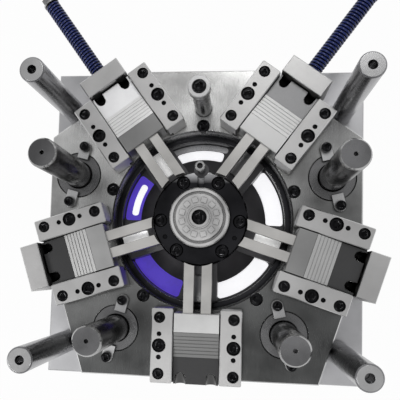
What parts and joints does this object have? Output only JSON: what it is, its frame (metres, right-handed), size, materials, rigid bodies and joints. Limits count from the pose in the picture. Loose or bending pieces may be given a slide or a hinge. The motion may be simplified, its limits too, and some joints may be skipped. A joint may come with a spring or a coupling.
{
  "type": "injection mould moving half",
  "caption": "Moving half of a stripper plate injection mould with radial slides, paired blades, a central core, leader pins and sprung pull rods.",
  "frame": {"origin": "centre of the clamp plate's underside, on the mould axis", "axes": "+Z along the mould axis towards the parting side, +Y towards the side with the two sprung slides' gap"},
  "size_m": [0.5, 0.5276, 0.4635],
  "materials": {
    "plate_steel": "ground, soft sheen",
    "satin_steel": "fine ground satin",
    "slide_steel": "milled, polished on the running faces",
    "blade_steel": "warm grey satin",
    "ground_steel": "hardened and ground, glossy",
    "bright_steel": "polished",
    "blackened_steel": "black, glossy",
    "black_screws": "black oxide",
    "clip_steel": "satin",
    "spring_blue": "dark blue gloss"
  },
  "bodies": {
    "base": {"bottom_clamp_plate": "plate_steel", "spacer_blocks": "plate_steel", "base_screws": "black_screws", "core_plate": "plate_steel", "support_pillars": "ground_steel", "leader_pins": "ground_steel", "limit_rods": "ground_steel", "limit_post": "ground_steel", "limit_collar": "bright_steel", "limit_screw": "black_screws", "spoke_core": "blackened_steel", "core_screws": "black_screws", "hub_flange": "blackened_steel", "hub_screws": "black_screws", "hub_dowels": "black_screws", "hub_pin": "ground_steel", "core_disc": "bright_steel", "core_disc_screw": "black_screws", "window_floors": "bright_steel", "spoke_strips": "bright_steel", "stop_buttons": "bright_steel", "ejector_guide_pins": "ground_steel"},
    "stripper": {"stripper_plate": "plate_steel", "stripper_ring": "blackened_steel", "ring_screws": "black_screws", "guide_bushes": "bright_steel", "bush_clips": "clip_steel", "clip_screws": "black_screws", "gibs": "satin_steel", "gib_screws": "black_screws", "gib_dowel_pins": "black_screws", "stop_blocks": "satin_steel", "stop_block_screws": "black_screws", "slide_stop_pin": "bright_steel", "push_rods": "ground_steel", "ejector_plate": "plate_steel", "ejector_retainer_plate": "plate_steel", "ejector_screws": "black_screws", "spring_1": "spring_blue", "spring_2": "spring_blue"},
    "slide_1": {"slide_block_1": "slide_steel", "slide_blades_1": "blade_steel", "heel_plate_1": "bright_steel", "pull_rod_1": "ground_steel", "spring_nut_1": "clip_steel"},
    "slide_2": {"slide_block_2": "slide_steel", "slide_blades_2": "blade_steel", "heel_plate_2": "bright_steel", "pull_rod_2": "ground_steel", "spring_nut_2": "clip_steel"},
    "slide_3": {"slide_block_3": "slide_steel", "slide_blades_3": "blade_steel", "heel_plate_3": "bright_steel"},
    "slide_4": {"slide_block_4": "slide_steel", "slide_blades_4": "blade_steel", "heel_plate_4": "bright_steel"},
    "slide_5": {"slide_block_5": "slide_steel", "slide_blades_5": "blade_steel", "heel_plate_5": "bright_steel"}
  },
  "joints": [
    {"name": "stripper_lift", "type": "slide", "parent": "base", "child": "stripper", "axis": [0, 0, 1], "range_m": [0, 0.09]},
    {"name": "slide_1_travel", "type": "slide", "parent": "stripper", "child": "slide_1", "axis": [0.5878, -0.809, 0], "range_m": [0, 0.0235], "stiffness_N_per_m": 6000, "springref_m": -0.012, "deforming": ["spring_1"]},
    {"name": "slide_2_travel", "type": "slide", "parent": "stripper", "child": "slide_2", "axis": [-0.5878, -0.809, 0], "range_m": [0, 0.0235], "stiffness_N_per_m": 6000, "springref_m": -0.012, "deforming": ["spring_2"]},
    {"name": "slide_3_travel", "type": "slide", "parent": "stripper", "child": "slide_3", "axis": [-0.9511, 0.309, 0], "range_m": [0, 0.0235]},
    {"name": "slide_4_travel", "type": "slide", "parent": "stripper", "child": "slide_4", "axis": [0, 1, 0], "range_m": [0, 0.0235]},
    {"name": "slide_5_travel", "type": "slide", "parent": "stripper", "child": "slide_5", "axis": [0.9511, 0.309, 0], "range_m": [0, 0.0235]}
  ]
}
